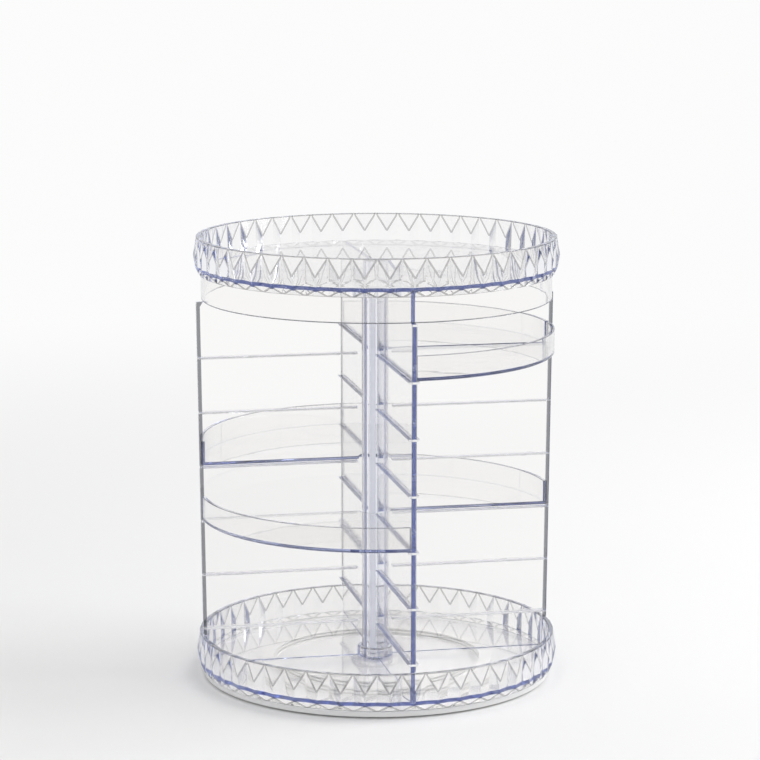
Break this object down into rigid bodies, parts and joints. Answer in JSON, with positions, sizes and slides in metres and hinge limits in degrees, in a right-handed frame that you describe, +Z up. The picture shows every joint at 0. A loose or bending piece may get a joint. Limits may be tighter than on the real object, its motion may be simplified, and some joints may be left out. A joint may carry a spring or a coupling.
{
  "type": "rotating makeup organizer",
  "caption": "Clear round turntable organizer with crossed panels on shelf rails, quarter-round lipped trays and diamond-cut rings round its base and top trays.",
  "frame": {"origin": "on the table, under the turning axis, level with the underside of the rubber feet", "axes": "+Z up along the turning axis, -Y along the panel that faces the viewer, +X to the viewer's right"},
  "size_m": [0.23, 0.23, 0.2818],
  "materials": {
    "clear_plastic": "polished clear moulding with a faint violet-blue glow at its edges",
    "foot_plastic": "clear moulding with a faintly milky underside",
    "foot_rubber": "soft matt",
    "race_plastic": "satin",
    "bearing_steel": "polished",
    "zinc_steel": "zinc plated"
  },
  "bodies": {
    "foot": {"foot_plate": "foot_plastic", "rubber_feet": "foot_rubber", "lower_race": "race_plastic", "pivot_cap": "foot_plastic"},
    "ball_ring": {"ball_cage": "race_plastic", "bearing_balls": "bearing_steel"},
    "carousel": {"base_tray": "clear_plastic", "upper_race": "race_plastic", "pivot_washer": "zinc_steel", "pivot_screw": "zinc_steel", "centre_post": "clear_plastic", "front_panel": "clear_plastic", "right_panel": "clear_plastic", "rear_panel": "clear_plastic", "left_panel": "clear_plastic"},
    "top_tray": {"top_tray": "clear_plastic"},
    "front_left_tray": {"front_left_tray": "clear_plastic"},
    "front_right_tray": {"front_right_tray": "clear_plastic"},
    "rear_left_tray": {"rear_left_tray": "clear_plastic"},
    "rear_right_tray": {"rear_right_tray": "clear_plastic"},
    "rear_right_upper_tray": {"rear_right_upper_tray": "clear_plastic"}
  },
  "joints": [
    {"name": "turntable_spin", "type": "hinge", "parent": "foot", "child": "carousel", "pos_m": [0, 0, 0], "axis": [0, 0, 1], "continuous": true},
    {"name": "ball_ring_spin", "type": "hinge", "parent": "foot", "child": "ball_ring", "pos_m": [0, 0, 0], "axis": [0, 0, 1], "continuous": true},
    {"name": "top_tray_lift", "type": "slide", "parent": "carousel", "child": "top_tray", "axis": [0, 0, 1], "range_m": [0, 0.06]},
    {"name": "front_left_tray_slide", "type": "slide", "parent": "carousel", "child": "front_left_tray", "axis": [-0.7071, -0.7071, 0], "range_m": [0, 0.12]},
    {"name": "front_right_tray_slide", "type": "slide", "parent": "carousel", "child": "front_right_tray", "axis": [0.7071, -0.7071, 0], "range_m": [0, 0.12]},
    {"name": "rear_left_tray_slide", "type": "slide", "parent": "carousel", "child": "rear_left_tray", "axis": [-0.7071, 0.7071, 0], "range_m": [0, 0.12]},
    {"name": "rear_right_tray_slide", "type": "slide", "parent": "carousel", "child": "rear_right_tray", "axis": [0.7071, 0.7071, 0], "range_m": [0, 0.12]},
    {"name": "rear_right_upper_tray_slide", "type": "slide", "parent": "carousel", "child": "rear_right_upper_tray", "axis": [0.7071, 0.7071, 0], "range_m": [0, 0.12]}
  ],
  "couplings": [
    {"joint": "ball_ring_spin", "follows": "turntable_spin", "ratio": 0.5}
  ]
}
